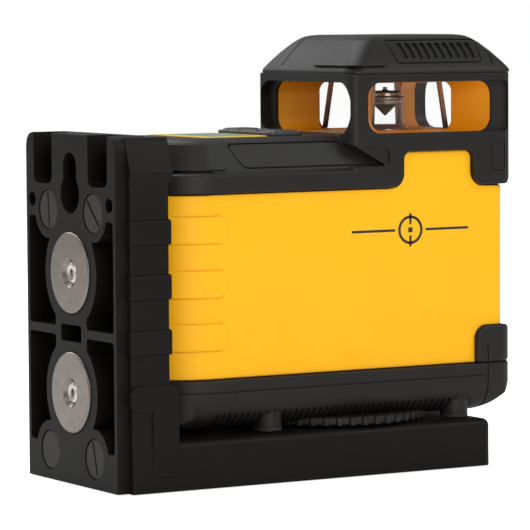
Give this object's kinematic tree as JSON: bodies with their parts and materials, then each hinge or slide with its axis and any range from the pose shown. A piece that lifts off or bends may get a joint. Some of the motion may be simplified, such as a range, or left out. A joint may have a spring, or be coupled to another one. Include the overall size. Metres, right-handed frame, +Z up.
{
  "type": "line laser level on a turning bracket",
  "caption": "Self-levelling ring-line laser level: boxy two-tone body with a windowed prism tower, turning on an L-shaped magnetic wall bracket with tripod threads.",
  "frame": {"origin": "on the axis of the large tripod thread, which is also the axis the body turns on, at the surface the rubber pads stand on", "axes": "+Z up; -X is the side of the magnet plate, +X the side of the prism tower; -Y is the broad front side of the body"},
  "size_m": [0.1474, 0.0664, 0.1395],
  "materials": {
    "bracket_nylon": "moulded, fine satin grain",
    "body_black": "soft-touch moulded",
    "shell_yellow": "satin moulded",
    "magnet_nickel": "nickel plated, turned face",
    "screw_steel": "zinc plated",
    "screw_black": "blackened",
    "plug_nylon": "grained",
    "pad_rubber": "matt",
    "seal_rubber": "matt",
    "insert_brass": "turned",
    "bush_brass": "turned",
    "washer_plastic": "smooth",
    "clear_glass": "clear",
    "label_film": "printed film",
    "key_rubber": "satin",
    "board_green": "coated board",
    "plate_steel": "ground",
    "tray_plastic": "moulded",
    "cell_wrap": "plain printed sleeve",
    "contact_nickel": "nickel plated",
    "cast_alloy": "die-cast",
    "knob_plastic": "moulded",
    "plunger_plastic": "moulded",
    "damper_copper": "plain copper",
    "prism_mount": "dark anodised, turned",
    "cone_mirror": "polished cone"
  },
  "bodies": {
    "bracket": {"bracket_frame": "bracket_nylon", "bracket_foot": "bracket_nylon", "foot_cover": "plate_steel", "cover_screws": "screw_steel", "ring_magnets": "magnet_nickel", "magnet_screws": "screw_steel", "slotted_plugs": "plug_nylon", "foot_pads": "pad_rubber", "thread_insert_large": "insert_brass", "thread_insert_small": "insert_brass", "pivot_bush": "bush_brass", "friction_washer": "washer_plastic"},
    "housing": {"base_tray": "body_black", "post_tips": "pad_rubber", "turn_ring": "body_black", "pivot_stud": "screw_steel", "pivot_nut": "screw_steel", "tray_gasket": "seal_rubber", "front_shell": "shell_yellow", "rear_shell": "shell_yellow", "end_guard": "body_black", "housing_screws": "screw_black", "top_gasket": "seal_rubber", "top_cover": "body_black", "tower_frame": "body_black", "tower_cap": "body_black", "lantern_frame": "shell_yellow", "window_panes": "clear_glass", "label_plate": "label_film", "keypad_bezel": "key_rubber", "key_board": "board_green", "circuit_board": "board_green", "damper_seat": "plate_steel", "damper_magnets": "magnet_nickel", "battery_tray": "tray_plastic", "battery_cells": "cell_wrap", "contact_plates": "contact_nickel", "contact_springs": "contact_nickel", "door_hinge_pin": "screw_steel", "gimbal_bridge": "cast_alloy", "roll_pins": "plate_steel"},
    "lines_key": {"key_lines": "key_rubber"},
    "power_key": {"key_power": "key_rubber"},
    "pulse_key": {"key_pulse": "key_rubber"},
    "lock_knob": {"lock_slider": "knob_plastic"},
    "plunger": {"lock_plunger": "plunger_plastic"},
    "door": {"battery_door": "shell_yellow"},
    "door_latch": {"door_lock": "knob_plastic"},
    "gimbal": {"gimbal_ring": "insert_brass", "pitch_pins": "plate_steel"},
    "pendulum": {"pendulum_tube": "cast_alloy", "laser_module": "insert_brass", "balance_weight": "insert_brass", "trim_screws": "screw_black", "damping_plate": "damper_copper", "prism_base": "prism_mount", "prism_glass_tube": "clear_glass", "prism_collar": "prism_mount", "cone_prism": "cone_mirror"}
  },
  "joints": [
    {"name": "body_turn", "type": "hinge", "parent": "bracket", "child": "housing", "pos_m": [0, 0, 0.02], "axis": [0, 0, 1], "continuous": true},
    {"name": "door_hinge", "type": "hinge", "parent": "housing", "child": "door", "pos_m": [-0.028, 0.0279, 0.038], "axis": [-1, 0, 0], "range_deg": [0, 100]},
    {"name": "door_lock_turn", "type": "hinge", "parent": "door", "child": "door_latch", "pos_m": [-0.028, 0.0275, 0.0738], "axis": [0, 1, 0], "range_deg": [0, 90]},
    {"name": "lines_press", "type": "slide", "parent": "housing", "child": "lines_key", "axis": [0, 0, -1], "range_m": [0, 0.0008], "stiffness_N_per_m": 900},
    {"name": "power_press", "type": "slide", "parent": "housing", "child": "power_key", "axis": [0, 0, -1], "range_m": [0, 0.0008], "stiffness_N_per_m": 900},
    {"name": "pulse_press", "type": "slide", "parent": "housing", "child": "pulse_key", "axis": [0, 0, -1], "range_m": [0, 0.0008], "stiffness_N_per_m": 900},
    {"name": "lock_slide", "type": "slide", "parent": "housing", "child": "lock_knob", "axis": [-1, 0, 0], "range_m": [0, 0.008]},
    {"name": "plunger_lift", "type": "slide", "parent": "housing", "child": "plunger", "axis": [0, 0, 1], "range_m": [0, 0.0032]},
    {"name": "gimbal_roll", "type": "hinge", "parent": "housing", "child": "gimbal", "pos_m": [0.024, 0, 0.095], "axis": [1, 0, 0], "range_deg": [-4, 4]},
    {"name": "pendulum_pitch", "type": "hinge", "parent": "gimbal", "child": "pendulum", "pos_m": [0.024, 0, 0.095], "axis": [0, 1, 0], "range_deg": [-4, 4]}
  ],
  "couplings": [
    {"joint": "plunger_lift", "follows": "lock_slide", "ratio": 0.4}
  ]
}
